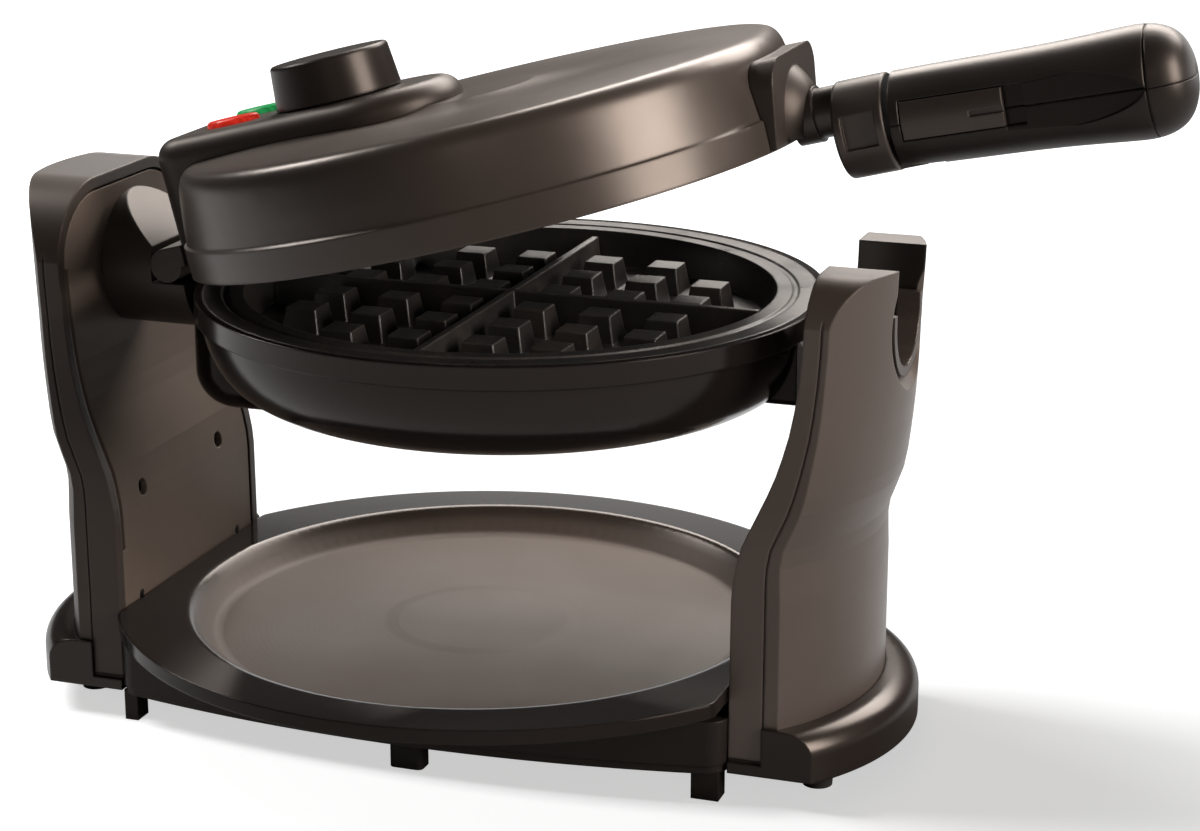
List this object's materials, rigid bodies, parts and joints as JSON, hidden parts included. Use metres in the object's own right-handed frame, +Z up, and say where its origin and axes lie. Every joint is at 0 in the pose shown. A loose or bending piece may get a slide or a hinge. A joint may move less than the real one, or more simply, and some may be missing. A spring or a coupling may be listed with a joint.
{
  "type": "rotating waffle maker",
  "caption": "Countertop waffle maker: a round cooking head with a hinged lid flips between side posts over a drip tray; browning knob, lamps and a folding handle.",
  "frame": {"origin": "middle of the bounding box on the surface it stands on", "axes": "+X from the hinge post to the cradle post and handle, -Y towards the user's side with the lock slider, +Z up"},
  "size_m": [0.404, 0.244, 0.2542],
  "materials": {
    "post_plastic": "satin moulded",
    "panel_plastic": "fine grained",
    "saddle_plastic": "satin",
    "foot_plastic": "glossy moulded",
    "tray_plastic": "satin moulded",
    "foot_rubber": "matt",
    "screw_steel": "plated",
    "pin_steel": "ground",
    "bush_brass": "turned",
    "head_plastic": "glossy moulded",
    "handle_plastic": "satin moulded",
    "knob_plastic": "glossy moulded",
    "grid_coating": "cast, dark non-stick coat",
    "element_steel": "heat-tinted",
    "reflector_metal": "rolled sheet",
    "lens_red": "clear tinted",
    "lens_green": "clear tinted",
    "board_laminate": "laminate",
    "thermostat_steel": "plated"
  },
  "bodies": {
    "stand": {"left_post_cover": "post_plastic", "left_post_panel": "panel_plastic", "right_post_cover": "post_plastic", "right_post_panel": "panel_plastic", "cradle_liner": "saddle_plastic", "left_foot_flange": "foot_plastic", "right_foot_flange": "foot_plastic", "base_bridge": "foot_plastic", "base_bottom_plate": "foot_plastic", "rubber_feet": "foot_rubber", "base_screws": "screw_steel", "post_screws": "screw_steel", "cord_gland": "foot_rubber", "pivot_bush": "bush_brass"},
    "tray": {"drip_tray": "tray_plastic"},
    "head": {"lower_shell": "head_plastic", "lower_hinge_housing": "head_plastic", "pivot_hub": "head_plastic", "pivot_collar": "pin_steel", "lower_front_boss": "head_plastic", "lower_grid_plate": "grid_coating", "lower_heating_element": "element_steel", "lower_reflector": "reflector_metal", "lower_plate_screws": "screw_steel"},
    "lid": {"upper_shell": "head_plastic", "control_housing": "head_plastic", "red_lamp_lens": "lens_red", "green_lamp_lens": "lens_green", "lamp_board": "board_laminate", "thermostat": "thermostat_steel", "upper_grid_plate": "grid_coating", "upper_heating_element": "element_steel", "upper_reflector": "reflector_metal", "upper_plate_screws": "screw_steel", "lid_front_boss": "head_plastic", "handle_barrel": "handle_plastic", "fold_pin": "pin_steel", "hinge_pin": "pin_steel"},
    "knob": {"browning_knob": "knob_plastic"},
    "grip": {"grip_upper": "handle_plastic", "grip_lower": "handle_plastic", "grip_screws": "screw_steel"},
    "slider": {"lock_slider": "handle_plastic"}
  },
  "joints": [
    {"name": "head_flip", "type": "hinge", "parent": "stand", "child": "head", "pos_m": [-0.1712, 0, 0.155], "axis": [-1, 0, 0], "range_deg": [-63, 0]},
    {"name": "lid_hinge", "type": "hinge", "parent": "head", "child": "lid", "pos_m": [-0.144, 0, 0.158], "axis": [0, -1, 0], "range_deg": [-14.4, 35.6]},
    {"name": "knob_turn", "type": "hinge", "parent": "lid", "child": "knob", "pos_m": [-0.08873, 0, 0.21617], "axis": [-0.2487, 0, 0.9686], "range_deg": [-135, 135]},
    {"name": "grip_fold", "type": "hinge", "parent": "lid", "child": "grip", "pos_m": [0.11687, 0, 0.21156], "axis": [0, 1, 0], "range_deg": [0, 80]},
    {"name": "lock_slide", "type": "slide", "parent": "grip", "child": "slider", "axis": [0.9789, 0, 0.2045], "range_m": [0, 0.006], "stiffness_N_per_m": 150},
    {"name": "tray_slide", "type": "slide", "parent": "stand", "child": "tray", "axis": [0, -1, 0], "range_m": [0, 0.26]}
  ]
}
